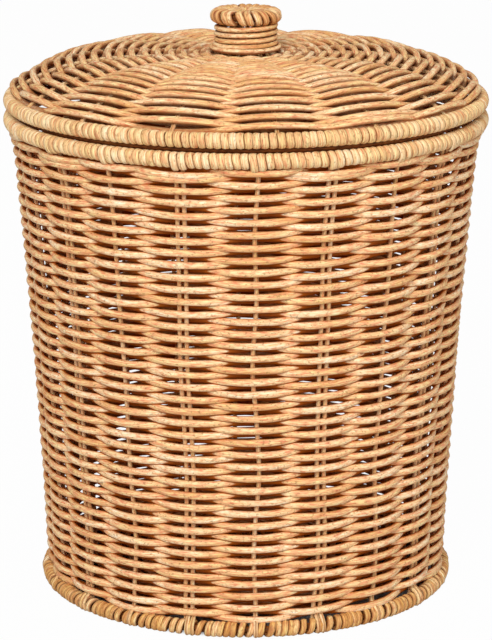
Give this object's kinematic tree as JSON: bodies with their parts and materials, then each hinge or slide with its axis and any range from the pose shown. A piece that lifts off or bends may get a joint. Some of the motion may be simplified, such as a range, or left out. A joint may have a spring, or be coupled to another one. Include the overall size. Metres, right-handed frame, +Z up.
{
  "type": "lidded basket",
  "caption": "Round tapered basket of plain-woven cane with lapped foot and rim, and a lift-off domed lid with a wrapped ring knob.",
  "frame": {"origin": "centre of the underside of the foot, on the floor", "axes": "+Z up along the basket's own axis, -Y towards the viewer of the picture, +X to the right"},
  "size_m": [0.2994, 0.2994, 0.3625],
  "materials": {
    "woven_cane": "natural round cane, honey coloured, satin, with small brown flecks",
    "lapped_cane": "natural round cane wound in close turns, pale honey, satin",
    "core_cane": "plain cane rod, hidden under the lapping and the weave"
  },
  "bodies": {
    "basket": {"foot_hoop": "core_cane", "foot_binding": "lapped_cane", "base_stick_01": "core_cane", "base_stick_02": "core_cane", "base_stick_03": "core_cane", "base_stick_04": "core_cane", "base_stick_05": "core_cane", "base_stick_06": "core_cane", "base_stick_07": "core_cane", "base_stick_08": "core_cane", "base_stick_09": "core_cane", "base_stick_10": "core_cane", "base_weave": "woven_cane", "single_stake_01": "woven_cane", "single_stake_02": "woven_cane", "single_stake_03": "woven_cane", "single_stake_04": "woven_cane", "single_stake_05": "woven_cane", "single_stake_06": "woven_cane", "single_stake_07": "woven_cane", "single_stake_08": "woven_cane", "single_stake_09": "woven_cane", "single_stake_10": "woven_cane", "pair_stake_01": "woven_cane", "pair_stake_02": "woven_cane", "pair_stake_03": "woven_cane", "pair_stake_04": "woven_cane", "pair_stake_05": "woven_cane", "pair_stake_06": "woven_cane", "pair_stake_07": "woven_cane", "pair_stake_08": "woven_cane", "pair_stake_09": "woven_cane", "pair_stake_10": "woven_cane", "wall_weave": "woven_cane", "rim_hoop": "core_cane", "rim_binding": "lapped_cane"},
    "lid": {"lid_hoop": "core_cane", "lid_binding": "lapped_cane", "lid_seat_ring": "woven_cane", "lid_spoke_01": "woven_cane", "lid_spoke_02": "woven_cane", "lid_spoke_03": "woven_cane", "lid_spoke_04": "woven_cane", "lid_spoke_05": "woven_cane", "lid_spoke_06": "woven_cane", "lid_spoke_07": "woven_cane", "lid_spoke_08": "woven_cane", "lid_spoke_09": "woven_cane", "lid_spoke_10": "woven_cane", "lid_spoke_11": "woven_cane", "lid_spoke_12": "woven_cane", "lid_spoke_13": "woven_cane", "lid_spoke_14": "woven_cane", "lid_spoke_15": "woven_cane", "lid_weave": "woven_cane", "knob_coil": "lapped_cane", "knob_ring": "core_cane", "knob_wrap": "lapped_cane"}
  },
  "joints": [
    {"name": "lid_lift", "type": "slide", "parent": "basket", "child": "lid", "axis": [0, 0, 1], "range_m": [0, 0.25]}
  ]
}
